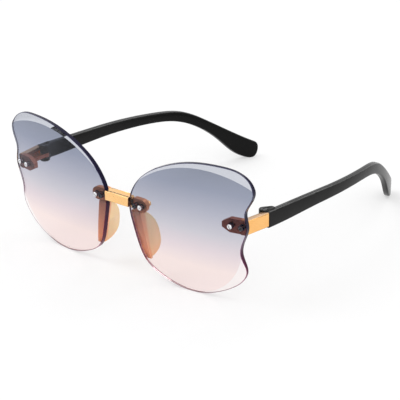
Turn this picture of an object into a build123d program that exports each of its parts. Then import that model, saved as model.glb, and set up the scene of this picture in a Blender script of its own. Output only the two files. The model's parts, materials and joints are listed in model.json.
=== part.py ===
from build123d import *
import math
import os

# Butterfly sunglasses with rimless lenses, a metal bridge and endpieces, and folding temples.
# Millimetres. +Z is up, the lenses face -Y, and the temples run back along +Y.
# The open sunglasses stand on the bottoms of both lenses and on both temple tips, at Z = 0.
# The origin lies on that floor, in the middle of the object's width and depth.
# The right half (+X) is modelled first, and the left half is its mirror image.

# Lenses: shallow meniscus sheets, cut to a butterfly wing outline
lens_width = 61.8
lens_height = 60.7
lens_thickness = 2.0
lens_curve_radius = 210.0
lens_gap = 13.2
wrap_angle = 5.55
lean_angle = 4.15
# Each point is a share of the width, from the nasal edge, and of the height, from the bottom
lens_outline_shares = [
    (1.000, 0.876),
    (0.945, 0.949),
    (0.869, 0.985),
    (0.756, 1.000),
    (0.596, 0.997),
    (0.434, 0.967),
    (0.297, 0.916),
    (0.161, 0.837),
    (0.053, 0.720),
    (0.000, 0.576),
    (0.025, 0.404),
    (0.064, 0.256),
    (0.124, 0.135),
    (0.203, 0.077),
    (0.289, 0.039),
    (0.397, 0.009),
    (0.526, 0.000),
    (0.658, 0.027),
    (0.795, 0.089),
    (0.904, 0.177),
    (0.937, 0.256),
    (0.910, 0.384),
    (0.929, 0.489),
    (0.960, 0.596),
    (0.948, 0.703),
    (0.984, 0.782),
]

# Polished facets on the front of each lens: a long one along the top, a short one low outside
upper_facet_radius = 51.6
upper_facet_drop = 2.65
upper_facet_shift = 8.0
upper_facet_angle = 17.0
lower_facet_radius = 28.0
lower_facet_rise = 28.05
lower_facet_shift = 2.1
lower_facet_angle = 14.0
facet_reach = 9.0
lower_facet_arc = 90.0
lower_facet_start = 5.0

# Lens fasteners: each hole is drilled square to the lens surface and lined with a clear sleeve
lens_hole_diameter = 2.0
screw_diameter = 1.2
screw_head_diameter = 2.2
screw_head_height = 0.75
screw_slot_width = 0.3
screw_slot_depth = 0.25
washer_diameter = 2.6
washer_thickness = 0.3
nut_across = 2.4
nut_height = 1.2
nut_room_gap = 0.15
thread_end = 0.3
screw_hole_end = 0.4
fit_gap = 0.02

# Bridge: a flat bar between the lenses with a tab behind each lens
bridge_height = 4.3
bridge_rise = 4.8
bridge_proud = 0.8
bridge_groove_width = 0.4
bridge_groove_depth = 0.25
bridge_groove_setback = 1.1
bridge_edge_round = 0.35
tab_thickness = 2.0
tab_drop = 1.1
tab_end_radius = 3.0
bridge_screw_inset = 3.1
bridge_screw_pitch = 3.0
lens_edge_gap = 0.08

# Endpieces: a plate and a block behind the lens, and a hinge tongue
endpiece_rise = 5.5
block_height = 6.4
block_inset = 2.2
block_width = 3.1
block_length = 14.2
block_flare = 1.8
block_edge_round = 0.5
plate_thickness = 2.0
plate_reach = 10.8
plate_tip_height = 2.4
plate_tip_length = 3.6
endpiece_screw_inset = 3.0
endpiece_screw_pitch = 5.0
endpiece_screw_rise = 5.7

# Hinges: a metal tongue between two lugs of the temple, on an upright screw
hinge_inset = 3.7
hinge_setback = 1.5
knuckle_radius = 2.2
tongue_radius = 2.0
tongue_thickness = 1.8
tongue_drop = 0.9
tongue_width = 3.2
tongue_length = 8.0
hinge_side_gap = 0.08
hinge_swing_gap = 0.3
lug_proud = 0.4
lug_length = 4.6
lug_edge = 0.25
hinge_screw_diameter = 1.4
hinge_bore_gap = 0.03
hinge_head_diameter = 2.6
hinge_head_height = 0.7
hinge_slot_width = 0.4
hinge_slot_depth = 0.3
pocket_length = 5.5
pocket_end = 1.0
pocket_depth = 1.4
pocket_height = 2.0

# Temples: straight for the first stretch, then curved inwards and down behind the ear
temple_length = 132.6
temple_thickness = 2.9
temple_front_height = 6.8
# The straight stretch and the radius of the bend inwards are shares of the length
temple_straight_share = 0.309
temple_plan_radius_share = 1.395
temple_stop_gap = 0.05
temple_edge_round = 0.7
# Each point is a share of the temple's length, and of its front end's top or bottom height
temple_top_shares = [
    (0.000, 1.000),
    (0.240, 0.958),
    (0.480, 0.903),
    (0.600, 0.865),
    (0.700, 0.801),
    (0.800, 0.622),
    (0.900, 0.400),
    (0.985, 0.221),
]
temple_bottom_shares = [
    (0.000, 0.985),
    (0.120, 0.969),
    (0.240, 0.968),
    (0.430, 0.946),
    (0.570, 0.909),
    (0.665, 0.845),
    (0.760, 0.676),
    (0.855, 0.366),
    (0.935, 0.055),
    (0.965, 0.000),
]
temple_end_share = 0.125

# Nose pads: a clear amber wing behind each lens's nasal edge, on a foot held by the bridge screws
pad_thickness = 1.6
pad_depth = 9.6
pad_bottom = 9.5
pad_top_drop = 1.7
pad_top_inset = 3.1
pad_bottom_inset = 6.9
pad_edge_round = 0.5
pad_edge_inset = 0.3
pad_flange_thickness = 1.2
pad_flange_width = 4.6
pad_tab_gap = 0.15
pad_foot_thickness = 1.2
pad_foot_radius = 2.2
pad_strap_width = 2.6
pad_strap_drop = 3.9
# Each point is a share of the wing's depth, from the lens, and of its height, from the bottom
pad_wing_shares = [
    (0.34, 0.020),
    (0.72, 0.100),
    (0.94, 0.220),
    (1.00, 0.380),
    (0.97, 0.560),
    (0.82, 0.720),
    (0.55, 0.850),
    (0.26, 0.945),
]

# One overrun for every cut that goes right through
overrun = 5.0


# Places that follow from the sizes
lens_mid_x = (lens_gap + lens_width) / 2
lens_nasal_x = lens_gap / 2
block_outer_x = lens_nasal_x + lens_width - block_inset
hinge_x = block_outer_x - hinge_inset
pad_top_x = lens_nasal_x + pad_top_inset
pad_bottom_x = lens_nasal_x + pad_bottom_inset
temple_straight = temple_straight_share * temple_length
temple_plan_radius = temple_plan_radius_share * temple_length
sphere_centre = Pos(0, lens_curve_radius, 0)
plate_front_depth = lens_thickness + washer_thickness


def shell(depth_from, depth_to):
    """The curved sheet between two depths below the lens's front surface."""
    outer = Sphere(lens_curve_radius - depth_from)
    inner = Sphere(lens_curve_radius - depth_to)
    return sphere_centre * (outer - inner)


def upright(face):
    """A face drawn across and up becomes a long prism along the line of sight."""
    return extrude(Plane.XZ * face, lens_width / 2, both=True)


def on_lens(u, v, depth):
    """A place at a depth below the lens's front: X across, Z square to the surface, inwards."""
    rise = math.sqrt(lens_curve_radius**2 - u**2 - v**2)
    front = Vector(u, lens_curve_radius - rise, v)
    inwards = Vector(-u, rise, -v).normalized()
    across = Vector(0, 0, -1).cross(inwards)
    return Plane(origin=front + inwards * depth, x_dir=across, z_dir=inwards).location


def lens_face(margin):
    """The lens's front view as a face about the middle of the lens, grown by a margin."""
    width = lens_width + 2 * margin
    height = lens_height + 2 * margin
    points = [((across - 0.5) * width, (up - 0.5) * height) for across, up in lens_outline_shares]
    return make_face(Spline(*points, periodic=True))


def facet_cutter(u, v, radius, angle, arc, start):
    """A ring that planes a sloping facet outside a circle drawn on the lens's front.

    The arc starts at an angle below the line that points to the temple.
    """
    depth = lens_curve_radius - math.sqrt(lens_curve_radius**2 - radius**2)
    surface_slope = math.degrees(math.asin(radius / lens_curve_radius))
    slope = math.tan(math.radians(surface_slope + angle))
    inner = radius - facet_reach / 2
    outer = radius + facet_reach
    section = Polyline(
        (inner, -facet_reach),
        (outer, -facet_reach),
        (outer, depth + slope * facet_reach),
        (inner, depth - slope * facet_reach / 2),
        close=True,
    )
    ring = revolve(Plane.XZ * make_face(section), Axis.Z, arc)
    return on_lens(u, v, 0) * (Rot(Z=start) * ring)


def screw_places():
    """The four screw places on a lens: two beside the bridge, then two beside the endpiece."""
    nasal = -lens_width / 2 + bridge_screw_inset
    temporal = block_outer_x - lens_mid_x - endpiece_screw_inset
    bridge_v = bridge_rise - tab_drop
    return [
        (nasal, bridge_v),
        (nasal + bridge_screw_pitch, bridge_v),
        (temporal - endpiece_screw_pitch, endpiece_screw_rise),
        (temporal, endpiece_screw_rise),
    ]


bridge_places = screw_places()[:2]
endpiece_places = screw_places()[2:]


def drill(diameter, places):
    """Long cylinders on the screw places."""
    return [on_lens(u, v, 0) * Cylinder(diameter / 2, 4 * overrun) for u, v in places]


# The lens in its own frame: middle of the front surface at the origin, facing -Y
def make_lens():
    blank = upright(lens_face(0)) & shell(0, lens_thickness)
    upper_v = lens_height / 2 - upper_facet_drop - upper_facet_radius
    lower_v = lower_facet_rise - lens_height / 2
    upper = facet_cutter(upper_facet_shift, upper_v, upper_facet_radius, upper_facet_angle, 360, 0)
    lower = facet_cutter(
        -lower_facet_shift, lower_v, lower_facet_radius, lower_facet_angle,
        lower_facet_arc, lower_facet_start
    )
    lens = blank - upper - lower
    for hole in drill(lens_hole_diameter, screw_places()):
        lens -= hole
    return lens


lens_local = make_lens()
lens_turn = Rot(Z=wrap_angle) * Rot(X=lean_angle)
lens_mid_z = -(lens_turn * lens_local).bounding_box().min.Z
lens_place = Pos(lens_mid_x, 0, lens_mid_z) * lens_turn
lens_right = lens_place * lens_local

bridge_z = lens_mid_z + bridge_rise
hinge_z = lens_mid_z + endpiece_rise


def front_place(u, v):
    """Where a point of the right lens's front surface lies."""
    return (lens_place * on_lens(u, v, 0)).position


block_lens_y = front_place(block_outer_x - lens_mid_x, endpiece_rise).Y
block_end_y = block_lens_y + block_length
hinge_y = block_end_y + hinge_setback


# Fasteners of one lens, each square to the lens surface
def screw(stack):
    """A slotted screw whose head stands on the lens's front; the stack is what it clamps."""
    length = stack + nut_height + thread_end
    shank = Pos(0, 0, length / 2) * Cylinder(screw_diameter / 2, length)
    head = Pos(0, 0, -screw_head_height / 2) * Cylinder(screw_head_diameter / 2, screw_head_height)
    rim = head.edges().group_by(Axis.Z)[0]
    head = fillet(rim, screw_head_height / 2)
    slot = Pos(0, 0, -screw_head_height) * Box(
        screw_head_diameter, screw_slot_width, 2 * screw_slot_depth
    )
    return Pos(0, 0, -fit_gap) * (head + shank - slot)


def sleeve():
    """The clear lining of a lens hole."""
    outer = Cylinder(lens_hole_diameter / 2 - fit_gap / 2, lens_thickness - fit_gap)
    bore = Cylinder(screw_diameter / 2 + fit_gap, lens_thickness)
    return Pos(0, 0, lens_thickness / 2) * (outer - bore)


def washer():
    """The black washer between the lens and the metal behind it."""
    outer = Cylinder(washer_diameter / 2, washer_thickness - 2 * fit_gap)
    bore = Cylinder(screw_diameter / 2 + fit_gap, washer_thickness)
    return Pos(0, 0, lens_thickness + washer_thickness / 2) * (outer - bore)


def nut(stack):
    """A hexagon nut on the rear end of a lens screw."""
    body = extrude(RegularPolygon(nut_across / 2, 6, major_radius=False), nut_height)
    bore = Cylinder(screw_diameter / 2 + fit_gap, 4 * nut_height)
    return Pos(0, 0, stack + fit_gap) * (body - bore)


bridge_stack = plate_front_depth + tab_thickness + pad_foot_thickness + 2 * fit_gap
endpiece_stack = plate_front_depth + plate_thickness


def group(piece, places):
    """Copies of a fastener at its places on the right lens."""
    return Compound([lens_place * (on_lens(u, v, 0) * piece) for u, v in places])


bridge_screws = group(screw(bridge_stack), bridge_places)
bridge_sleeves = group(sleeve(), bridge_places)
bridge_washers = group(washer(), bridge_places)
bridge_nuts = group(nut(bridge_stack), bridge_places)
endpiece_screws = group(screw(endpiece_stack), endpiece_places)
endpiece_sleeves = group(sleeve(), endpiece_places)
endpiece_washers = group(washer(), endpiece_places)
endpiece_nut = group(nut(endpiece_stack), endpiece_places[:1])


# The room that the lens needs in the metal round its edge
lens_room = lens_place * (upright(lens_face(lens_edge_gap)) & shell(-overrun, plate_front_depth))


def metal_drill(places, stack):
    """Holes for the lens screws, which end a little deeper than the screws do."""
    depth = stack + nut_height + thread_end + screw_hole_end
    hole = Pos(0, 0, depth / 2) * Cylinder(screw_diameter / 2 + fit_gap, depth)
    return [lens_place * (on_lens(u, v, 0) * hole) for u, v in places]


def nut_rooms(places, stack):
    """Round clearances for the nuts and the screw ends behind a clamped stack."""
    length = nut_height + thread_end + nut_room_gap
    radius = nut_across / math.sqrt(3) + nut_room_gap
    room = Pos(0, 0, stack + length / 2) * Cylinder(radius, length)
    return [lens_place * (on_lens(u, v, 0) * room) for u, v in places]


def stadium(places, radius):
    """A round-ended strip over two screw places, in the lens's front view."""
    (u1, v1), (u2, v2) = places
    middle = Pos((u1 + u2) / 2, (v1 + v2) / 2) * Rectangle(u2 - u1, 2 * radius)
    return middle + Pos(u1, v1) * Circle(radius) + Pos(u2, v2) * Circle(radius)


# Bridge
def make_bridge():
    front_y = front_place(-lens_width / 2, bridge_rise).Y - bridge_proud
    rear_y = front_y + bridge_proud + plate_front_depth + tab_thickness
    depth = rear_y - front_y
    bar = Pos(0, (front_y + rear_y) / 2, bridge_z) * Box(lens_gap + 2 * overrun, depth, bridge_height)
    bar = fillet(bar.edges().filter_by(Axis.X), bridge_edge_round)
    groove = Box(lens_gap + 4 * overrun, bridge_groove_width, 2 * bridge_groove_depth)
    bar -= Pos(0, front_y + bridge_groove_setback, bridge_z + bridge_height / 2) * groove
    middle = Box(lens_gap, 4 * overrun, 4 * bridge_height)
    bar &= Pos(0, 0, bridge_z) * middle
    tab = upright(stadium(bridge_places, tab_end_radius))
    reach = Pos(-lens_width / 2, bridge_rise - tab_drop) * Rectangle(
        2 * bridge_screw_inset, bridge_height
    )
    tab += upright(reach)
    tab &= shell(plate_front_depth, plate_front_depth + tab_thickness)
    tab = lens_place * tab
    body = bar + tab + mirror(tab, Plane.YZ)
    body -= [lens_room, mirror(lens_room, Plane.YZ)]
    holes = metal_drill(bridge_places, bridge_stack)
    return body - holes - [mirror(hole, Plane.YZ) for hole in holes]


bridge = make_bridge()


# Hinge heights: the tongue sits between the two lugs
tongue_top = hinge_z - tongue_drop + tongue_thickness / 2
tongue_bottom = tongue_top - tongue_thickness
temple_front_y = block_end_y + temple_stop_gap


def upright_disc(radius, low, high):
    """A cylinder on the hinge axis between two heights."""
    return Pos(hinge_x, hinge_y, (low + high) / 2) * Cylinder(radius, high - low)


def slab(x_range, y_range, z_range):
    """A box between named limits."""
    sizes = [high - low for low, high in (x_range, y_range, z_range)]
    middle = [(high + low) / 2 for low, high in (x_range, y_range, z_range)]
    return Pos(*middle) * Box(*sizes)


# Right endpiece
def make_endpiece():
    low = hinge_z - block_height / 2
    high = hinge_z + block_height / 2
    inner_x = block_outer_x - block_width
    front_x = block_outer_x - block_flare
    plan = Polyline(
        (front_x - block_width, block_lens_y),
        (front_x, block_lens_y),
        (block_outer_x, block_end_y),
        (inner_x, block_end_y),
        close=True,
    )
    block = Pos(0, 0, low) * extrude(make_face(plan), block_height)
    level = block.edges().filter_by(Plane.XY)
    ends = level.group_by(Axis.Y)
    block = fillet([edge for edge in level if edge not in ends[0] + ends[-1]], block_edge_round)
    plate_end = front_x - lens_mid_x - block_width / 2
    tip = plate_end - plate_reach + block_width / 2
    half = block_height / 2
    points = [
        (plate_end, -half),
        (plate_end, half),
        (tip + plate_tip_length, half),
        (tip, plate_tip_height / 2),
        (tip, -plate_tip_height / 2),
        (tip + plate_tip_length, -half),
    ]
    plate_face = Pos(0, endpiece_rise) * make_face(Polyline(*points, close=True))
    plate = upright(plate_face) & shell(plate_front_depth, plate_front_depth + plate_thickness)
    body = block + lens_place * plate
    tongue_x = (hinge_x - tongue_width / 2, hinge_x + tongue_width / 2)
    tongue = slab(tongue_x, (block_end_y - tongue_length, hinge_y), (tongue_bottom, tongue_top))
    tongue += upright_disc(tongue_radius, tongue_bottom, tongue_top)
    swing = knuckle_radius + hinge_swing_gap
    body -= upright_disc(swing, low - overrun, high + overrun)
    pocket_y = (block_end_y - pocket_end - pocket_length, block_end_y - pocket_end)
    pocket_z = (tongue_top, tongue_top + pocket_height)
    body -= slab((inner_x - overrun, inner_x + pocket_depth), pocket_y, pocket_z)
    body += tongue
    body -= lens_room
    body -= upright_disc(hinge_screw_diameter / 2 + hinge_bore_gap, low, high)
    body -= nut_rooms(endpiece_places[:1], endpiece_stack)
    return body - metal_drill(endpiece_places, endpiece_stack)


endpiece_right = make_endpiece()


# Right temple: an arm cut from its side view and its plan view, with two hinge lugs
top_height = hinge_z + temple_front_height / 2
bottom_height = hinge_z - temple_front_height / 2
temple_inner_x = block_outer_x - temple_thickness


def temple_points(shares, front_height):
    """Points of the temple's side view, from its front end to its tip."""
    return [(temple_front_y + y * temple_length, z * front_height) for y, z in shares]


def make_side():
    """The temple seen from the side, as a prism across the object."""
    top = temple_points(temple_top_shares, top_height)
    bottom = temple_points(temple_bottom_shares, bottom_height)
    end = temple_points([(1, temple_end_share)], top_height)[0]
    top_line = Spline(*top)
    bottom_line = Spline(*bottom)
    tip_line = Spline(top[-1], end, bottom[-1], tangents=(top_line % 1, -(bottom_line % 1)))
    front_line = Line(top[0], bottom[0])
    side = make_face([top_line, tip_line, bottom_line, front_line])
    return extrude(Plane.YZ * side, block_outer_x + overrun)


def make_plan():
    """The temple seen from above, as an upright prism."""
    bend_y = temple_front_y + temple_straight
    ring = Circle(temple_plan_radius) - Circle(temple_plan_radius - temple_thickness)
    quarter = Pos(temple_plan_radius / 2, temple_plan_radius / 2) * Rectangle(
        temple_plan_radius, temple_plan_radius
    )
    curve = Pos(block_outer_x - temple_plan_radius, bend_y) * (ring & quarter)
    middle = Pos((block_outer_x + temple_inner_x) / 2, (temple_front_y + bend_y) / 2)
    straight = middle * Rectangle(temple_thickness, temple_straight)
    return Pos(0, 0, -overrun) * extrude(curve + straight, top_height + 2 * overrun)


def make_lug(low, high):
    """A knuckle round the hinge axis that runs into the temple's inner face."""
    rear_y = hinge_y + lug_length
    root_x = temple_inner_x + temple_thickness / 2
    reach = math.hypot(temple_inner_x - hinge_x, lug_length)
    bearing = math.atan2(lug_length, temple_inner_x - hinge_x)
    touch = bearing + math.acos(knuckle_radius / reach)
    tangent_x = hinge_x + knuckle_radius * math.cos(touch)
    tangent_y = hinge_y + knuckle_radius * math.sin(touch)
    web = Polyline(
        (hinge_x, hinge_y),
        (tangent_x, tangent_y),
        (temple_inner_x, rear_y),
        (root_x, rear_y),
        (root_x, temple_front_y + temple_edge_round),
        close=True,
    )
    plan = make_face(web) + Pos(hinge_x, hinge_y) * Circle(knuckle_radius)
    lug = Pos(0, 0, low) * extrude(plan, high - low)
    rims = lug.edges().filter_by(Plane.XY)
    return chamfer(rims, lug_edge)


def make_temple():
    arm = make_side() & make_plan()
    front = arm.edges().group_by(Axis.Y)[0]
    seams = arm.edges().filter_by(Axis.X) + arm.edges().filter_by(Axis.Z)
    rounded = [edge for edge in arm.edges() if edge in front or edge not in seams]
    arm = fillet(rounded, temple_edge_round)
    below = Pos(0, 0, -overrun / 2) * Box(4 * temple_length, 4 * temple_length, overrun)
    arm -= below
    lug_top = top_height + lug_proud
    lug_bottom = bottom_height - lug_proud
    arm += make_lug(tongue_top + hinge_side_gap, lug_top)
    arm += make_lug(lug_bottom, tongue_bottom - hinge_side_gap)
    room = tongue_radius + hinge_swing_gap
    arm -= upright_disc(room, tongue_bottom - hinge_side_gap, tongue_top + hinge_side_gap)
    head_seat = lug_top - hinge_head_height
    arm -= upright_disc(hinge_head_diameter / 2 + fit_gap, head_seat, lug_top + overrun)
    return arm - upright_disc(hinge_screw_diameter / 2 + fit_gap, lug_bottom - overrun, lug_top)


def make_hinge_screw():
    """The slotted hinge screw, its head sunk into the upper lug."""
    lug_top = top_height + lug_proud
    lug_bottom = bottom_height - lug_proud
    seat = lug_top - hinge_head_height + fit_gap
    head = upright_disc(hinge_head_diameter / 2, seat, lug_top)
    shank = upright_disc(hinge_screw_diameter / 2, lug_bottom + lug_edge, lug_top)
    slot = Pos(hinge_x, hinge_y, lug_top) * Box(
        hinge_slot_width, 2 * hinge_head_diameter, 2 * hinge_slot_depth
    )
    return head + shank - slot


temple_right = make_temple()
hinge_screw_right = make_hinge_screw()


# Right nose pad: a flange on the lens's rear, a wing that stands on it and a foot on the bridge tab
def make_nose_pad():
    tab_v = bridge_rise - tab_drop
    tab_radius = tab_end_radius + pad_tab_gap
    foot_front = plate_front_depth + tab_thickness + fit_gap
    foot_rear = foot_front + pad_foot_thickness
    flange_front = lens_thickness + fit_gap
    flange_top = tab_v - tab_radius
    beside = pad_flange_width / 2
    top_u = pad_top_x - lens_mid_x
    bottom_u = pad_bottom_x - lens_mid_x
    top_v = tab_v - pad_top_drop
    bottom_v = pad_bottom - lens_mid_z
    flange_points = [
        (top_u + beside, flange_top),
        (bottom_u + beside, bottom_v),
        (-lens_width, bottom_v),
        (-lens_width, flange_top),
    ]
    flange_face = lens_face(-pad_edge_inset) & make_face(Polyline(*flange_points, close=True))
    flange = upright(flange_face) & shell(flange_front, flange_front + pad_flange_thickness)
    strap_middle = Pos(top_u, tab_v - pad_strap_drop / 2)
    strap = strap_middle * Rectangle(pad_strap_width, pad_strap_drop)
    foot = upright(stadium(bridge_places, pad_foot_radius) + strap) & shell(foot_front, foot_rear)
    mount = lens_place * (flange + foot)

    low_root = front_place(bottom_u, bottom_v).Y + lens_thickness + pad_flange_thickness / 2
    high_root = front_place(top_u, top_v).Y + lens_thickness + pad_flange_thickness / 2
    slant = Vector(pad_top_x - pad_bottom_x, 0, lens_mid_z + top_v - pad_bottom)
    wing_plane = Plane(
        origin=(pad_bottom_x, 0, pad_bottom), x_dir=(0, 1, 0), z_dir=Vector(0, 1, 0).cross(slant)
    )
    shares = [(0, 0)] + pad_wing_shares + [(0, 1)]
    rim_points = [
        (low_root + (high_root - low_root) * up + pad_depth * back, slant.length * up)
        for back, up in shares
    ]
    wing_face = make_face([Spline(*rim_points), Line(rim_points[-1], rim_points[0])])
    wing = extrude(wing_plane * wing_face, pad_thickness / 2, both=True)
    rim = wing.edges().filter_by(GeomType.LINE, reverse=True)
    wing = fillet(rim, pad_edge_round)
    tab_room = upright(stadium(bridge_places, tab_radius)) & shell(-overrun, foot_front)
    pad = mount + (wing - lens_place * tab_room)
    pad -= nut_rooms(bridge_places, bridge_stack)
    return pad - metal_drill(bridge_places, bridge_stack)


nose_pad_right = make_nose_pad()


# Every node: the single pieces first, then each right-hand piece and its mirror image
right_pieces = {
    "lens": lens_right,
    "endpiece": endpiece_right,
    "temple": temple_right,
    "nose_pad": nose_pad_right,
    "hinge_screw": hinge_screw_right,
    "bridge_screws": bridge_screws,
    "bridge_sleeves": bridge_sleeves,
    "bridge_washers": bridge_washers,
    "bridge_nuts": bridge_nuts,
    "endpiece_screws": endpiece_screws,
    "endpiece_sleeves": endpiece_sleeves,
    "endpiece_washers": endpiece_washers,
    "endpiece_nut": endpiece_nut,
}
nodes = {"bridge": bridge}
for name, piece in right_pieces.items():
    nodes[name + "_right"] = piece
    nodes[name + "_left"] = mirror(piece, Plane.YZ)

boxes = [piece.bounding_box() for piece in nodes.values()]
front_y = min(box.min.Y for box in boxes)
rear_y = max(box.max.Y for box in boxes)
to_origin = Pos(0, -(front_y + rear_y) / 2, 0)

os.makedirs("parts", exist_ok=True)
for name, piece in nodes.items():
    export_step(to_origin * piece, "parts/" + name + ".step")

hinge_place = to_origin * Pos(hinge_x, hinge_y, hinge_z)
print("hinge axis, right:", hinge_place.position)
print("front at Y", round(front_y, 3), "rear at Y", round(rear_y, 3))
print("bridge height", round(bridge_z, 3), "hinge height", round(hinge_z, 3))
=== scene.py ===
# %% [markdown]
# These cells dress a pair of rimless butterfly sunglasses. The construction comes in as a
# finished frame, and Blender adds what the eye judges: tinted lenses, polished metal,
# black plastic arms, turned screws, light and a camera.

import json
import math

import bmesh
import bpy
import numpy as np
from mathutils import Matrix, Vector

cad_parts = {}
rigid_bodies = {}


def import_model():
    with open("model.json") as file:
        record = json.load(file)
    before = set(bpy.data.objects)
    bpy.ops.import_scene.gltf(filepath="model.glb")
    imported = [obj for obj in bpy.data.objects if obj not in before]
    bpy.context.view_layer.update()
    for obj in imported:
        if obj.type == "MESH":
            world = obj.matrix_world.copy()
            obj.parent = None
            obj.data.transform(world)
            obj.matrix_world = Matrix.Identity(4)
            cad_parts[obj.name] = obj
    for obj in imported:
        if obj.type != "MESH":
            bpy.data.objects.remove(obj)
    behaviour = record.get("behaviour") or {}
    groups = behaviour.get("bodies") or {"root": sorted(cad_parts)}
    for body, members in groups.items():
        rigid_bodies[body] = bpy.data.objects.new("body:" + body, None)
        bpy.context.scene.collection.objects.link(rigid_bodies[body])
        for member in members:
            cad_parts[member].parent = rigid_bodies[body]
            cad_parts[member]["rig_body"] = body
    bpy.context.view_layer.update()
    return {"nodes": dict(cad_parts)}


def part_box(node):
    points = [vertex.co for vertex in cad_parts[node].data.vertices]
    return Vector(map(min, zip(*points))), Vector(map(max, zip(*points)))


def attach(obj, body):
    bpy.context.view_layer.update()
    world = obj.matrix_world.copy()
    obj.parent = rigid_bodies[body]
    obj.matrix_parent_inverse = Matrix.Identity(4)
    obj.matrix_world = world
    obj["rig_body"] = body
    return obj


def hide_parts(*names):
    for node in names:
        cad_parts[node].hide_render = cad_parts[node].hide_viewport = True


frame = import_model()
nodes = frame["nodes"]
MM = 0.001

# %% [markdown]
# Everything is in metres, with Z up. The lenses face -Y and the arms run back along +Y, so
# the camera stands in front, to the right and above, as the photographer did. A long lens
# keeps the two halves nearly the same size.

# %% Camera
azimuth = math.radians(39.069)
elevation = math.radians(22.2334)
roll = math.radians(-0.3846)
camera_distance = 789.776 * MM
aim = Vector((-20.5285, 5.694, 2.920)) * MM
focal_length = 148.54
sensor_width = 36

back = Vector((
    math.sin(azimuth) * math.cos(elevation),
    -math.cos(azimuth) * math.cos(elevation),
    math.sin(elevation),
))
level = Vector((math.cos(azimuth), math.sin(azimuth), 0))
upward = back.cross(level)
across = math.cos(roll) * level + math.sin(roll) * upward
camera_axes = Matrix((across, back.cross(across), back)).transposed()

camera_data = bpy.data.cameras.new("camera")
camera_data.lens = focal_length
camera_data.sensor_width = sensor_width
camera = bpy.data.objects.new("camera", camera_data)
camera.matrix_world = Matrix.Translation(aim + camera_distance * back) @ camera_axes.to_4x4()
bpy.context.scene.collection.objects.link(camera)
bpy.context.scene.camera = camera
print("camera at", [round(c, 4) for c in camera.location])

# %% [markdown]
# Shader maths reads best as formulas. A Term wraps one output of a node, and its operators
# add Math nodes, so that 1 - mask * 0.5 can be written as it stands. A Graph adds any other
# node in one call: its settings first, then the values or links of its sockets.


# %% Graphs and terms
class Term:
    """One output of a node. Sums, differences, products and quotients add Math nodes."""

    def __init__(self, graph, socket):
        self.graph = graph
        self.socket = socket

    def __add__(self, other):
        return self.graph.math("ADD", self, other)

    def __sub__(self, other):
        return self.graph.math("SUBTRACT", self, other)

    def __rsub__(self, other):
        return self.graph.math("SUBTRACT", other, self)

    def __mul__(self, other):
        return self.graph.math("MULTIPLY", self, other)

    def __truediv__(self, other):
        return self.graph.math("DIVIDE", self, other)

    __radd__ = __add__
    __rmul__ = __mul__


class Graph:
    """A node tree of any kind, written as calls."""

    def __init__(self, tree, prefix):
        self.tree = tree
        self.prefix = prefix
        self.tree.nodes.clear()

    def node(self, kind, sockets=None, out=0, stops=None, **settings):
        """Adds a node and gives the Term of one of its outputs. A whole kind needs no prefix."""
        made = self.tree.nodes.new(kind if "Node" in kind else self.prefix + kind)
        for name, value in settings.items():
            setattr(made, name, value)
        if stops:
            ramp = made.color_ramp
            while len(ramp.elements) < len(stops):
                ramp.elements.new(1)
            for element, (place, colour) in zip(ramp.elements, stops):
                element.position = place
                element.color = (*colour, 1)
        for name, value in (sockets or {}).items():
            if isinstance(value, Term):
                self.tree.links.new(value.socket, made.inputs[name])
            else:
                made.inputs[name].default_value = value
        return Term(self, made.outputs[out]) if made.outputs else None

    def math(self, operation, first, second=0.0):
        """A Math node."""
        made = self.tree.nodes.new("ShaderNodeMath")
        made.operation = operation
        for socket, value in zip(made.inputs, (first, second)):
            if isinstance(value, Term):
                self.tree.links.new(value.socket, socket)
            else:
                socket.default_value = value
        return Term(self, made.outputs[0])

    def split(self, vector):
        """The X, Y and Z of a vector, as terms."""
        made = self.tree.nodes.new("ShaderNodeSeparateXYZ")
        self.tree.links.new(vector.socket, made.inputs[0])
        return [Term(self, output) for output in made.outputs]


class Finish(Graph):
    """A material. Colours are written as they look on a screen, from 0 to 255."""

    def __init__(self, name):
        self.material = bpy.data.materials.new(name)
        self.material.use_nodes = True
        super().__init__(self.material.node_tree, "ShaderNode")
        self.place = self.node("TexCoord", out="Object")

    def noise(self, scale, stretch=(1, 1, 1), detail=3.0):
        """Grain of about 1/scale metres, longer along the axes whose stretch is small."""
        placed = self.node("Mapping", {"Vector": self.place, "Scale": stretch})
        return self.node("TexNoise", {"Vector": placed, "Scale": scale, "Detail": detail})

    def blend(self, share, first, second):
        """A colour between two others."""
        return self.node(
            "Mix", {"Factor": share, 6: first, 7: second}, out=2, data_type="RGBA"
        )

    def surface(self, sockets):
        return self.node("BsdfPrincipled", sockets)

    def finish(self, shader):
        self.node("OutputMaterial", {"Surface": shader})
        return self.material


def screen(red, green, blue):
    """A screen colour as the linear colour that a shader wants."""
    shares = [c / 255 for c in (red, green, blue)]
    return tuple(c / 12.92 if c < 0.04045 else ((c + 0.055) / 1.055) ** 2.4 for c in shares)


print("graphs ready")

# %% [markdown]
# The CAD meshes are loose flat triangles, so a polished piece would show its facets. A
# dressed copy merges them, shades them smooth, keeps the edges sharp where the surface
# turns, and takes the node's place on the same body.


# %% Dressed copies
weld_distance = 0.0005 * MM


def merged_mesh(node):
    """A merged copy of a CAD node's mesh."""
    shape = bmesh.new()
    shape.from_mesh(nodes[node].data)
    bmesh.ops.remove_doubles(shape, verts=shape.verts, dist=weld_distance)
    bmesh.ops.dissolve_degenerate(shape, edges=shape.edges, dist=weld_distance)
    mesh = bpy.data.meshes.new(node + "_dressed")
    shape.to_mesh(mesh)
    shape.free()
    return mesh


def smooth(mesh, crease=28.0):
    """Smooth shading with sharp edges where faces meet at more than the crease, in degrees."""
    mesh.shade_smooth()
    mesh.set_sharp_from_angle(angle=math.radians(crease))


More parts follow.
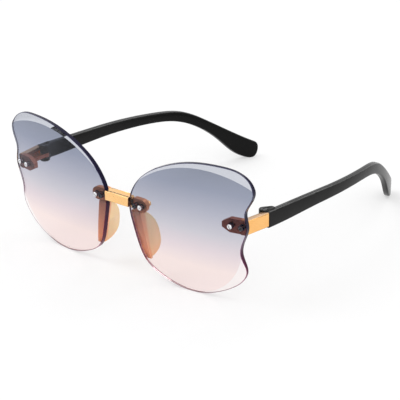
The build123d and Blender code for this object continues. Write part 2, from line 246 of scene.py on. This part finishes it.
def place(name, mesh, materials, body, slot, *replaced):
    """Puts a finished mesh into the scene, on its body, in place of its CAD nodes."""
    piece = bpy.data.objects.new(name, mesh)
    bpy.context.scene.collection.objects.link(piece)
    mesh.materials.clear()
    for material in materials:
        mesh.materials.append(material)
    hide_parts(*replaced)
    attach(piece, body)
    print(name, "faces:", len(mesh.polygons))
    return piece


def dress(node, material, slot):
    """A smooth copy of one CAD node in one finish."""
    mesh = merged_mesh(node)
    smooth(mesh)
    body = nodes[node]["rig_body"]
    return place(node + "_finished", mesh, [material], body, slot, node)


# %% [markdown]
# A gradient lens is clear plastic with a dyed skin: grey-blue at the brow, pink at the cheek.
# A glass-like shader with the tint in its base colour shows what lies behind, darkened. The
# front skin takes more of the dye than the rear one, and its power says how much. The facets
# are ground after the dyeing, which takes the front skin away, so they are clear and look
# paler. A coating keeps reflections low, which is what the dark specular tint says. Lamps
# can't shine through such a shader, so rays from lamps meet a Transparent shader instead, and
# what lies behind the lens stays lit.

# %% Lens finishes
lens_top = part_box("lens_right")[1].z
plastic_index = 1.49
coating_level = 0.12
coating_tint = (0.1, 0.1, 0.12, 1)
tint_stops = [
    (0.00, screen(255, 240, 238)),
    (0.22, screen(252, 236, 233)),
    (0.36, screen(231, 219, 224)),
    (0.50, screen(206, 204, 213)),
    (0.65, screen(182, 184, 198)),
    (0.82, screen(154, 160, 178)),
    (1.00, screen(142, 148, 163)),
]
front_power = 1.27
rear_power = 2 - front_power
left_dye = 1.08
facet_stops = [
    (0.00, screen(255, 253, 253)),
    (1.00, screen(253, 253, 255)),
]
# Painted shade: the rim's colours follow the dye's hue, but their darkness stands in for the shade
# that a polished edge shows.
edge_shade_stops = [
    (0.00, screen(150, 116, 124)),
    (0.12, screen(140, 52, 84)),
    (0.35, screen(98, 26, 72)),
    (0.60, screen(38, 32, 66)),
    (1.00, screen(46, 44, 74)),
]


def lens_finish(name, stops, lamp_tint, power=1.0, roughness=0.0, clarity=1.0):
    """Clear plastic whose tint changes with height."""
    finish = Finish(name)
    height = finish.split(finish.place)[2] / lens_top
    tint = finish.node("ValToRGB", {"Fac": height}, stops=stops)
    plastic = finish.surface({
        "Base Color": finish.node("Gamma", {"Color": tint, "Gamma": power}),
        "Roughness": roughness,
        "IOR": plastic_index,
        "Transmission Weight": clarity,
        "Specular IOR Level": coating_level,
        "Specular Tint": coating_tint,
    })
    opened = finish.node("BsdfTransparent", {"Color": (*lamp_tint, 1)})
    lamp_ray = finish.node("LightPath", out="Is Shadow Ray")
    return finish.finish(finish.node("MixShader", {0: lamp_ray, 1: plastic, 2: opened}))


facet_glass = lens_finish("lens_facet", facet_stops, screen(253, 252, 254))
# The rim and the bevel band take this finish, with its painted shade.
edge_shade_glass = lens_finish("lens_edge", edge_shade_stops, screen(12, 10, 12), roughness=0.1, clarity=0.6)


def lens_finishes(side, dye):
    """The finishes of one lens. No two lenses take quite the same dye."""
    return [
        lens_finish("lens_front_" + side, tint_stops, screen(252, 250, 252), front_power * dye),
        lens_finish("lens_rear_" + side, tint_stops, screen(253, 252, 253), rear_power * dye),
        facet_glass,
        edge_shade_glass,
    ]


finishes_right = lens_finishes("right", 1.0)
finishes_left = lens_finishes("left", left_dye)
print("lens finishes:", [material.name for material in finishes_right + finishes_left])

# %% [markdown]
# Each lens has three kinds of face: the two curved sheets, the polished facets that slope
# from the front sheet, and the rim with its drilled holes. Their slope tells them apart: the
# angle between a face and the line to the centre of the lens's sphere. An edge is never left
# sharp, because it would chip: a safety bevel runs round it, front and rear. It is not shaped
# here: an inset of each sheet makes a narrow band that takes the rim's finish, so the bevel
# shows as a thin dark line of painted shade.

# %% Kinds of lens face
lens_radius = 210.0 * MM
wrap = math.radians(5.55)
lean = math.radians(4.15)
sheet_slope = math.radians(2.0)
facet_slope = math.radians(40.0)
bevel_width = 0.28 * MM
fit_rounds = 8
front_percentile = 60
front_sheet, rear_sheet, facet, rim, band = range(5)


def sphere_centre(mesh, side):
    """The centre of the front sheet's sphere, found from the sheet's own points."""
    inwards = Matrix.Rotation(wrap, 3, "Z") @ Matrix.Rotation(lean, 3, "X") @ Vector((0, 1, 0))
    inwards.x *= side
    points = np.array([vertex.co for vertex in mesh.vertices])
    guess = points.mean(axis=0) + np.array(inwards) * lens_radius
    for _ in range(fit_rounds):
        reach = np.linalg.norm(points - guess, axis=1)
        front = points[reach > np.percentile(reach, front_percentile)]
        away = front - guess
        lengths = np.linalg.norm(away, axis=1)
        guess = guess + (away * (1 - lens_radius / lengths)[:, None]).mean(axis=0)
    return Vector(guess)


def bevelled(mesh, centre):
    """Cuts a narrow band along the rim into both sheets, and marks every face's kind."""
    shape = bmesh.new()
    shape.from_mesh(mesh)
    kind = shape.faces.layers.int.new("kind")
    front = []
    rear = []
    for face in shape.faces:
        away = (face.calc_center_median() - centre).normalized()
        outwards = away.dot(face.normal)
        slope = math.acos(min(1, abs(outwards)))
        sheet = front_sheet if outwards > 0 else rear_sheet
        face[kind] = sheet if slope < sheet_slope else facet if slope < facet_slope else rim
        if face[kind] != rim:
            (front if outwards > 0 else rear).append(face)
    for faces in (front, rear):
        made = bmesh.ops.inset_region(
            shape, faces=faces, thickness=bevel_width, use_boundary=True, use_even_offset=True
        )
        for face in made["faces"]:
            face[kind] = band
    shape.to_mesh(mesh)
    shape.free()
    return [item.value for item in mesh.attributes["kind"].data]


print("bevel width:", bevel_width)

# %% [markdown]
# Light bends at every face of a lens, so a normal that is a little wrong shows as a kink in
# what is seen through it. The sheets get the sphere's own normals. A facet is part of a cone
# about a line through the sphere's centre: its faces' normals all make one angle with that
# line, so the line is the direction in which the normals differ least.


# %% Lens normals
def cone(faces, centre):
    """The axis of a facet's cone and the share of the axis in its normals."""
    areas = np.array([face.area for face in faces])
    directions = np.array([face.normal for face in faces])
    mean = (directions * areas[:, None]).sum(axis=0) / areas.sum()
    spread = (directions - mean) * np.sqrt(areas)[:, None]
    axis = np.linalg.svd(spread, full_matrices=False)[2][2]
    axis = axis if axis @ mean > 0 else -axis
    return Vector(axis), float(mean @ axis)


def lens_normals(mesh, kinds, centre, middle_height):
    """A normal for each face corner: zero where Blender's own will do."""
    normals = [Vector((0, 0, 0)) for _ in mesh.loops]
    cones = {}
    for upper in (True, False):
        faces = [face for face, kind in zip(mesh.polygons, kinds)
                 if kind == facet and (face.center.z > middle_height) == upper]
        cones[upper] = cone(faces, centre)
    for face, kind in zip(mesh.polygons, kinds):
        if kind == rim:
            continue
        away = (face.center - centre).normalized()
        sloping = math.acos(min(1, abs(away.dot(face.normal)))) > sheet_slope
        axis, lift = cones[face.center.z > middle_height]
        for loop in face.loop_indices:
            away = (mesh.vertices[mesh.loops[loop].vertex_index].co - centre).normalized()
            if sloping:
                aside = (away - away.dot(axis) * axis).normalized()
                normals[loop] = lift * axis + math.sqrt(1 - lift * lift) * aside
            else:
                normals[loop] = away if away.dot(face.normal) > 0 else -away
    return normals, cones


# %% Lenses
lens_crease = 9.0


def lens(node, side, finishes):
    """Dresses one lens and gives the centre of its sphere."""
    mesh = merged_mesh(node)
    centre = sphere_centre(mesh, side)
    kinds = bevelled(mesh, centre)
    smooth(mesh, lens_crease)
    normals, cones = lens_normals(mesh, kinds, centre, lens_top / 2)
    mesh.normals_split_custom_set(normals)
    place(node + "_finished", mesh, finishes, "front", "lens_tint", node)
    mesh.polygons.foreach_set("material_index", [min(kind, rim) for kind in kinds])
    areas = [0.0] * (band + 1)
    for face, kind in zip(mesh.polygons, kinds):
        areas[kind] += face.area / MM**2
    print(node, "areas in mm2:", [round(area) for area in areas])
    print("facet slopes:", [round(math.degrees(math.acos(lift)), 1) for _, lift in cones.values()])
    return centre


lens_centres = {
    "right": lens("lens_right", 1, finishes_right),
    "left": lens("lens_left", -1, finishes_left),
}

# %% [markdown]
# The bridge and the endpieces are one alloy with a thin, warm gold plating, polished and
# then lightly brushed. Plating this thin is never quite even, so the colour drifts a little
# over a few millimetres, and fine lines run across the roughness. The faces that lie against
# the lens, and an endpiece's inner side, take a darker, redder gold that is painted shade,
# darker on the endpieces than on the bridge. The groove along the bridge's top is painted
# near-black as shade, and an endpiece's top gets a duller gold than its front, also painted
# shade.


# %% Gold
def metal_finish(name, first, second, roughness):
    """Brushed metal whose colour drifts between two."""
    finish = Finish(name)
    drift = finish.noise(scale=120.0)
    lines = finish.noise(scale=900.0, stretch=(1, 1, 6), detail=2.0)
    colour = finish.blend(drift, (*first, 1), (*second, 1))
    bump = finish.node("Bump", {"Strength": 0.02, "Distance": 0.02 * MM, "Height": lines})
    return finish.finish(finish.surface({
        "Base Color": colour,
        "Metallic": 1.0,
        "Roughness": roughness + 0.12 * lines,
        "Normal": bump,
    }))


gold = metal_finish("gold_metal", screen(250, 194, 125), screen(254, 213, 156), 0.2)
warm_gold = metal_finish("gold_metal_warm", screen(252, 184, 108), screen(254, 204, 136), 0.2)
# Painted shade: a darker gold for the tops of the endpieces.
painted_top_shade_gold = metal_finish("gold_metal_grazed", screen(194, 160, 128), screen(208, 174, 140), 0.3)
# Painted shade: darker, redder golds for faces behind the lenses and the endpieces' inner sides.
bridge_painted_shade = metal_finish("gold_metal_unbuffed", screen(198, 132, 96), screen(216, 152, 114), 0.3)
endpiece_painted_shade = metal_finish("gold_metal_dull", screen(156, 96, 80), screen(174, 112, 94), 0.34)
# Painted shade: a near-black brown for the groove along the bridge's top.
groove_painted_shade = metal_finish("gold_metal_groove", screen(60, 34, 26), screen(80, 48, 36), 0.4)
tab_depth = 4.6 * MM
gap_half_width = 7.8 * MM
facing = 0.7
turned_away = -0.5
groove_low = Vector((0, -75.58, 36.83)) * MM
groove_high = Vector((6.6, -75.12, 37.09)) * MM
buffed, painted_shade, painted_groove_shade, painted_top_shade = range(4)


def in_groove(point):
    """Whether a point lies in the narrow groove along the bridge's top."""
    return (groove_low.y < point.y < groove_high.y and groove_low.z < point.z < groove_high.z
            and abs(point.x) < groove_high.x)


def by_lens(face):
    """Whether a face lies behind a lens, within the depth of the tabs, and isn't a rear one."""
    away = face.center - lens_centres["right" if face.center.x > 0 else "left"]
    depth = lens_radius - away.length
    return depth < tab_depth and away.normalized().dot(face.normal) > turned_away


def bridge_kind(face):
    """Painted shade in the bridge's groove and behind the lenses; polished gold in the gap."""
    # The groove gets painted shade.
    if in_groove(face.center):
        return painted_groove_shade
    return painted_shade if by_lens(face) and abs(face.center.x) >= gap_half_width else buffed


def endpiece_kind(face):
    """Painted shade on an endpiece's inner side, behind the lens but not its outer side, and on
    top.
    """
    outwards = math.copysign(1, face.center.x) * face.normal.x
    # Inner sides, and faces behind the lens, get painted shade.
    if outwards < -facing or (by_lens(face) and outwards <= facing):
        return painted_shade
    # Faces that point up get painted shade.
    return painted_top_shade if face.normal.z > facing else buffed


def metal_part(node, polished, painted_shade_finish, kind_of):
    """A gold part, with a finish for each kind of face."""
    mesh = merged_mesh(node)
    smooth(mesh)
    kinds = [kind_of(face) for face in mesh.polygons]
    finishes = [polished, painted_shade_finish, groove_painted_shade, painted_top_shade_gold]
    body = nodes[node]["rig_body"]
    place(node + "_finished", mesh, finishes, body, "gold_metal", node)
    mesh.polygons.foreach_set("material_index", kinds)
    print(node, "faces of each kind:", [kinds.count(kind) for kind in range(len(finishes))])


metal_part("bridge", gold, bridge_painted_shade, bridge_kind)
for node in ("endpiece_left", "endpiece_right"):
    metal_part(node, warm_gold, endpiece_painted_shade, endpiece_kind)

# %% [markdown]
# The arms are cut from black acetate or moulded in nylon and tumbled to a gloss. Black needs
# its highlights to show its shape, so the finish is a dark base under a clear coat, with
# a faint waviness such as tumbling leaves. Tumbling polishes the rounded long edges most, and
# they catch the light as thin lines. On those the normal leans partly sideways.


# %% Black arms
leaning = (0.3, 0.85)
upwards = 0.2


def black_finish(name, gloss, coat):
    finish = Finish(name)
    waves = finish.noise(scale=180.0)
    specks = finish.noise(scale=4200.0, detail=1.0)
    colour = finish.blend(waves, (*screen(6, 6, 6), 1), (*screen(12, 12, 11), 1))
    bump = finish.node("Bump", {"Strength": 0.04, "Distance": 0.05 * MM, "Height": waves})
    return finish.finish(finish.surface({
        "Base Color": colour,
        "Roughness": 0.2 + 0.08 * specks,
        "Specular IOR Level": gloss,
        "Normal": bump,
        "Coat Weight": coat,
        "Coat Roughness": 0.05,
    }))


black = black_finish("black_plastic", gloss=0.11, coat=0.03)
black_edge = black_finish("black_plastic_edge", gloss=0.3, coat=0.5)
for node in ("temple_left", "temple_right"):
    arm = dress(node, black, "black_plastic").data
    arm.materials.append(black_edge)
    rounded = [leaning[0] < abs(face.normal.x) < leaning[1] and face.normal.z > upwards
               for face in arm.polygons]
    arm.polygons.foreach_set("material_index", rounded)
    print(node, "faces on rounded upper edges:", sum(rounded))

# %% [markdown]
# The nose pads are moulded in a cloudy amber plastic. Thin cloudy plastic passes a little
# light and scatters the rest under its skin, so the finish is part transmission and part
# scattering. It is deeper orange at the foot and along the flange on the lens, where one
# looks along the plastic and so through more of it.


# %% Amber pads
flange_depth = 3.4 * MM
wing_start = 1.2 * MM


def amber_finish():
    finish = Finish("amber_plastic")
    low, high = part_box("nose_pad_right")
    x, y, z = finish.split(finish.place)
    height = (z - low.z) / (high.z - low.z)
    wing = finish.node("ValToRGB", {"Fac": height}, stops=[
        (0.00, screen(255, 198, 146)),
        (0.22, screen(255, 220, 172)),
        (0.60, screen(255, 228, 184)),
        (1.00, screen(255, 220, 174)),
    ])
    flange = finish.node("ValToRGB", {"Fac": height}, stops=[
        (0.00, screen(255, 176, 120)),
        (0.40, screen(255, 186, 142)),
        (1.00, screen(244, 180, 148)),
    ])
    behind = finish.node("Clamp", {"Value": (y - (low.y + flange_depth)) / wing_start})
    haze = finish.noise(scale=260.0)
    return finish.finish(finish.surface({
        "Base Color": finish.blend(behind, flange, wing),
        "Roughness": 0.26 + 0.1 * haze,
        "IOR": 1.46,
        "Transmission Weight": 0.1,
        "Subsurface Weight": 0.3,
        "Subsurface Radius": (1.6, 0.8, 0.4),
        "Subsurface Scale": 1.0 * MM,
    }))


amber = amber_finish()
for node in ("nose_pad_left", "nose_pad_right"):
    dress(node, amber, "amber_plastic")

# %% [markdown]
# Small turned steel is bright, with rings that the lathe leaves. The screws beside the bridge
# and the outermost one on the right get a dark steel colour, a painted dark reflection, and
# the hinge screws are blackened.
# Washers and sleeves are nylon: the washers black, the sleeves clear.


# %% Fastener finishes
ring_scale = 2600.0


def steel_finish(name, colour):
    finish = Finish(name)
    rings = finish.noise(scale=ring_scale, detail=1.0)
    return finish.finish(finish.surface({
        "Base Color": (*colour, 1),
        "Metallic": 1.0,
        "Roughness": 0.14 + 0.16 * rings,
    }))


def nylon_finish():
    finish = Finish("black_washer")
    grain = finish.noise(scale=5200.0)
    bump = finish.node("Bump", {"Strength": 0.1, "Distance": 0.02 * MM, "Height": grain})
    return finish.finish(finish.surface({
        "Base Color": (*screen(18, 18, 20), 1),
        "Roughness": 0.4 + 0.2 * grain,
        "Normal": bump,
    }))


def clear_finish():
    finish = Finish("clear_plastic")
    haze = finish.noise(scale=900.0)
    return finish.finish(finish.surface({
        "Base Color": (*screen(226, 230, 236), 1),
        "Roughness": 0.1 + 0.1 * haze,
        "IOR": 1.46,
        "Transmission Weight": 0.9,
    }))


def blackened_finish():
    finish = Finish("black_metal")
    rings = finish.noise(scale=ring_scale, detail=1.0)
    return finish.finish(finish.surface({
        "Base Color": (*screen(20, 20, 22), 1),
        "Roughness": 0.22 + 0.2 * rings,
        "Specular IOR Level": 0.5,
    }))


steel = steel_finish("silver_metal", screen(228, 229, 232))
# Painted reflection: a dark steel colour stands in for the dark that some domed heads mirror.
dark_reflection_steel = steel_finish("silver_metal_dark", screen(70, 70, 75))
nylon = nylon_finish()
clear = clear_finish()
blackened = blackened_finish()
for node in ("hinge_screw_left", "hinge_screw_right"):
    dress(node, blackened, "black_metal")

# %% [markdown]
# Eight places on the lenses carry the same kinds of fastener: a screw, a sleeve, a washer
# and, at six of them, a nut behind the metal. The CAD washers say where: each one's middle is
# a place, and the direction in which it is thinnest is the screw's axis, from the rear to the
# front.


# %% Fastener places
def loose_parts(node):
    """The points of each separate solid of a CAD node."""
    shape = bmesh.new()
    shape.from_mesh(merged_mesh(node))
    left = set(shape.verts)
    parts = []
    while left:
        todo = [left.pop()]
        part = []
        while todo:
            vertex = todo.pop()
            part.append(tuple(vertex.co))
            for edge in vertex.link_edges:
                other = edge.other_vert(vertex)
                if other in left:
                    left.remove(other)
                    todo.append(other)
        parts.append(np.array(part))
    shape.free()
    return parts


def all_parts(kind):
    """The nodes and the solids of one kind of fastener, over both lenses."""
    found = [name for name in sorted(nodes) if "_" + kind in name]
    return found, [part for name in found for part in loose_parts(name)]


fastener_places = []
for part in all_parts("washer")[1]:
    axis = np.linalg.svd(part - part.mean(axis=0))[2][2]
    fastener_places.append((part.mean(axis=0), -axis if axis[1] > 0 else axis))


def measured(kind):
    """Each solid of a kind: its rear end, its screw's axis, its length and its two radii."""
    names, parts = all_parts(kind)
    rows = []
    for part in parts:
        centre = part.mean(axis=0)
        middle, axis = min(
            fastener_places, key=lambda item: np.linalg.norm(np.cross(centre - item[0], item[1]))
        )
        along = (part - middle) @ axis
        off = np.linalg.norm(part - middle - along[:, None] * axis, axis=1)
        rows.append((middle + along.min() * axis, axis, np.ptp(along), off.max(), off.min()))
    return names, rows


print("fastener places:", len(fastener_places))

# %% [markdown]
# One Geometry Nodes tree makes one small turned piece, from inputs that have names, and sets
# it on every place. A point carries its axis and its length, and a fixed seed turns each
# piece about its axis, because nobody lines up the slots of lens screws.


# %% Trees for small pieces
ring_sides = 48
twist_seed = 7


class Pieces(Graph):
    """A Geometry Nodes tree that sets small pieces on the points of a mesh."""

    def __init__(self, name, values):
        self.values = values
        super().__init__(bpy.data.node_groups.new(name, "GeometryNodeTree"), "GeometryNode")
        face = self.tree.interface
        face.new_socket("Points", in_out="INPUT", socket_type="NodeSocketGeometry")
        for label in values:
            face.new_socket(label, in_out="INPUT", socket_type="NodeSocketFloat")
        face.new_socket("Pieces", in_out="OUTPUT", socket_type="NodeSocketGeometry")
        entry = self.tree.nodes.new("NodeGroupInput")
        self.given = {output.name: Term(self, output) for output in entry.outputs}

    def vector(self, x=0.0, y=0.0, z=0.0):
        return self.node("ShaderNodeCombineXYZ", {"X": x, "Y": y, "Z": z})

    def moved(self, piece, shift=None, size=None):
        sockets = {"Geometry": piece}
        if shift:
            sockets["Translation"] = shift
        if size:
            sockets["Scale"] = size
        return self.node("Transform", sockets)

    def cut(self, operation, first, second):
        """A Boolean of two meshes. An intersection takes both from its second socket."""
        made = self.tree.nodes.new("GeometryNodeMeshBoolean")
        made.operation = operation
        target = 0 if operation == "DIFFERENCE" else 1
        self.tree.links.new(first.socket, made.inputs[target])
        self.tree.links.new(second.socket, made.inputs[1])
        return Term(self, made.outputs[0])

    def ring(self, outer, inner, length, edge):
        """A tube with rounded edges, from 0 up to its length."""
        middle = 0.5 * (outer + inner)
        path = self.node("CurvePrimitiveCircle", {"Resolution": ring_sides, "Radius": middle})
        profile = self.node(
            "CurvePrimitiveQuadrilateral", {"Width": outer - inner, "Height": length}
        )
        rounded = self.node("FilletCurve", {
            "Curve": profile, "Radius": edge, "Count": 2, "Limit Radius": True,
        }, mode="POLY")
        tube = self.node("CurveToMesh", {"Curve": path, "Profile Curve": rounded})
        return self.moved(tube, self.vector(z=0.5 * length))

    def rod(self, radius, length, sides, rings=1):
        """A cylinder from 0 up to its length."""
        made = self.node("MeshCylinder", {
            "Vertices": sides, "Fill Segments": rings, "Radius": radius, "Depth": length,
        })
        return self.moved(made, self.vector(z=0.5 * length))

    def on_points(self, piece, size=(1, 1, 1)):
        """The piece on every point, along the point's axis."""
        axis = self.node(
            "InputNamedAttribute", {"Name": "axis"}, data_type="FLOAT_VECTOR"
        )
        aligned = self.node("FunctionNodeAlignRotationToVector", {"Vector": axis}, axis="Z")
        turn = self.node("FunctionNodeRandomValue", {
            2: 0.0, 3: math.tau, "Seed": twist_seed,
        }, out=1, data_type="FLOAT")
        twist = self.node("FunctionNodeAxisAngleToRotation", {"Angle": turn})
        turned = self.node("FunctionNodeRotateRotation", {
            "Rotation": aligned, "Rotate By": twist,
        }, rotation_space="LOCAL")
        return self.node("InstanceOnPoints", {
            "Points": self.given["Points"], "Instance": piece, "Rotation": turned, "Scale": size,
        })

    def made(self, instances, rows, material):
        """Runs the tree on the rows' points and gives the finished mesh."""
        solid = self.node("RealizeInstances", {"Geometry": instances})
        done = self.node("SetMaterial", {"Geometry": solid, "Material": material})
        self.node("NodeGroupOutput", {"Pieces": done})
        points = bpy.data.meshes.new(self.tree.name + "_points")
        points.from_pydata([tuple(row[0]) for row in rows], [], [])
        axes = points.attributes.new("axis", "FLOAT_VECTOR", "POINT")
        axes.data.foreach_set("vector", np.ravel([row[1] for row in rows]))
        lengths = points.attributes.new("length", "FLOAT", "POINT")
        lengths.data.foreach_set("value", [row[2] for row in rows])
        carrier = bpy.data.objects.new(self.tree.name + "_carrier", points)
        bpy.context.scene.collection.objects.link(carrier)
        modifier = carrier.modifiers.new("pieces", "NODES")
        modifier.node_group = self.tree
        for item in self.tree.interface.items_tree:
            if item.name in self.values:
                modifier[item.identifier] = self.values[item.name]
        evaluated = carrier.evaluated_get(bpy.context.evaluated_depsgraph_get())
        mesh = bpy.data.meshes.new_from_object(evaluated)
        carrier.modifiers.remove(modifier)
        bpy.data.objects.remove(carrier)
        smooth(mesh)
        return mesh


print("trees ready")

# %% [markdown]
# The screw's head is a low dome with a slot, on a plain shank that is as long as its point
# says. Washers and sleeves are the same tube at other sizes. A nut is a hexagon whose
# corners are turned off, as on real nuts, and bored.


# %% Screws, washers, sleeves and nuts
head_height = 0.75 * MM
head_radius = 1.1 * MM
shank_radius = 0.6 * MM
slot_width = 0.3 * MM
slot_depth = 0.25 * MM
dome_fall = 0.45
shank_sides = 32
ball_reach = 1.08
ball_height = 0.84


def set_screws():
    names, rows = measured("screws")
    rows = [(foot + (length - head_height) * axis, axis, length - head_height)
            for foot, axis, length, _, _ in rows]
    tree = Pieces("screws", {
        "Head Radius": head_radius, "Head Height": head_height, "Shank Radius": shank_radius,
        "Slot Width": slot_width, "Slot Depth": slot_depth,
    })
    radius, height, shank, slot, depth = [tree.given[label] for label in tree.values]
    head = tree.rod(radius, height, ring_sides, rings=10)
    x, y, z = tree.split(tree.node("InputPosition"))
    rise = (x * x + y * y) / (radius * radius)
    fall = tree.vector(z=-dome_fall * z * rise * rise)
    head = tree.node("SetPosition", {"Geometry": head, "Offset": fall})
    blade = tree.node("MeshCube", {"Size": tree.vector(3 * radius, slot, 2 * depth)})
    head = tree.cut("DIFFERENCE", head, tree.moved(blade, tree.vector(z=height)))
    heads = tree.on_points(head)
    reach = tree.node("InputNamedAttribute", {"Name": "length"}, data_type="FLOAT")
    unit = tree.moved(tree.rod(shank, 1.0, shank_sides), tree.vector(z=-1.0))
    shanks = tree.on_points(unit, tree.vector(1.0, 1.0, reach))
    both = tree.tree.nodes.new("GeometryNodeJoinGeometry")
    for part in (shanks, heads):
        tree.tree.links.new(part.socket, both.inputs[0])
    mesh = tree.made(Term(tree, both.outputs[0]), rows, steel)
    place("lens_screws", mesh, [steel, dark_reflection_steel], "front", "silver_metal", *names)
    outward = sorted({round(abs(float(row[0][0])), 4) for row in rows})
    nasal_gap = (outward[0] + outward[1]) / 2
    temporal_gap = (outward[-2] + outward[-1]) / 2
    # These screws get the painted dark reflection.
    dark = [abs(face.center.x) < nasal_gap or face.center.x > temporal_gap
            for face in mesh.polygons]
    mesh.polygons.foreach_set("material_index", dark)


def set_rings(kind, edge, material, slot):
    names, rows = measured(kind)
    length, outer, inner = rows[0][2:]
    tree = Pieces(kind, {
        "Outer Radius": outer, "Inner Radius": inner, "Length": length, "Edge": edge,
    })
    ring = tree.ring(*[tree.given[label] for label in tree.values])
    mesh = tree.made(tree.on_points(ring), rows, material)
    place("lens_" + kind, mesh, [material], "front", slot, *names)


def set_nuts():
    names, rows = measured("nut")
    length, corner, bore = rows[0][2:]
    tree = Pieces("nuts", {"Corner Radius": corner, "Bore Radius": bore, "Length": length})
    corner, bore, length = [tree.given[label] for label in tree.values]
    prism = tree.node("MeshCylinder", {"Vertices": 6, "Radius": corner, "Depth": length})
    ball = tree.node("MeshUVSphere", {
        "Segments": ring_sides, "Rings": 24, "Radius": ball_reach * corner,
    })
    flat = tree.moved(ball, size=tree.vector(1.0, 1.0, ball_height * length / corner))
    nut = tree.cut("INTERSECT", prism, flat)
    hole = tree.node("MeshCylinder", {
        "Vertices": shank_sides, "Radius": bore, "Depth": 2 * length,
    })
    nut = tree.moved(tree.cut("DIFFERENCE", nut, hole), tree.vector(z=0.5 * length))
    mesh = tree.made(tree.on_points(nut), rows, gold)
    place("lens_nuts", mesh, [gold], "front", "gold_metal", *names)


set_screws()
set_rings("washers", 0.08 * MM, nylon, "black_washer")
set_rings("sleeves", 0.05 * MM, clear, "clear_plastic")
set_nuts()

# %% [markdown]
# The room is white all round, and three large lamps add to its light. The one behind draws
# the thin light lines along the arms. The floor is a plain white sheet. What the camera, a
# mirror or a lens sees of it is part shader and part glow of the same white, so that it stays
# white between the shadows and keeps them soft.

# %% Floor, room and lamps
floor_size = 3.0
floor_glow = 0.45
lamps = {
    "key": ((-0.5, -0.35, 0.9), 0.7, 3.2),
    "fill": ((0.8, -0.6, 0.6), 0.8, 2.0),
    "rear": ((-0.1, 0.85, 0.8), 0.4, 1.2),
}


def rays_that_see(graph):
    """1 for rays that come from the camera, a mirror or a lens, and 0 for the others."""
    camera_ray = graph.node("LightPath", out="Is Camera Ray")
    seen = camera_ray
    for other in ("Is Glossy Ray", "Is Transmission Ray"):
        seen = graph.math("MAXIMUM", seen, Term(graph, camera_ray.socket.node.outputs[other]))
    return seen


def floor_finish():
    finish = Finish("floor")
    sheet = finish.surface({
        "Base Color": (*screen(230, 230, 230), 1),
        "Roughness": 0.9,
        "Specular IOR Level": 0.0,
    })
    glow = finish.node("Emission", {"Color": (1, 1, 1, 1), "Strength": 1.0})
    share = floor_glow * rays_that_see(finish)
    return finish.finish(finish.node("MixShader", {0: share, 1: sheet, 2: glow}))


floor_mesh = bpy.data.meshes.new("floor")
half_floor = floor_size / 2
floor_mesh.from_pydata(
    [(x * half_floor, y * half_floor, 0) for x, y in ((-1, -1), (1, -1), (1, 1), (-1, 1))],
    [],
    [(0, 1, 2, 3)],
)
floor_mesh.materials.append(floor_finish())
floor = bpy.data.objects.new("floor", floor_mesh)
bpy.context.scene.collection.objects.link(floor)

world = bpy.data.worlds.new("room")
world.use_nodes = True
bpy.context.scene.world = world
room = Graph(world.node_tree, "ShaderNode")
light = room.node("Background", {"Color": (1, 1, 1, 1), "Strength": 1.0})
room.node("OutputWorld", {"Surface": light})


def lamp(name, position, size, power):
    """A square soft lamp that faces the object."""
    data = bpy.data.lights.new(name, "AREA")
    data.size = size
    data.energy = power
    made = bpy.data.objects.new(name, data)
    made.location = position
    made.rotation_euler = (-Vector(position)).to_track_quat("-Z", "Y").to_euler()
    bpy.context.scene.collection.objects.link(made)


for name, (position, size, power) in lamps.items():
    lamp(name, position, size, power)
bpy.context.scene.view_settings.view_transform = "Standard"
print("room and lamps ready")
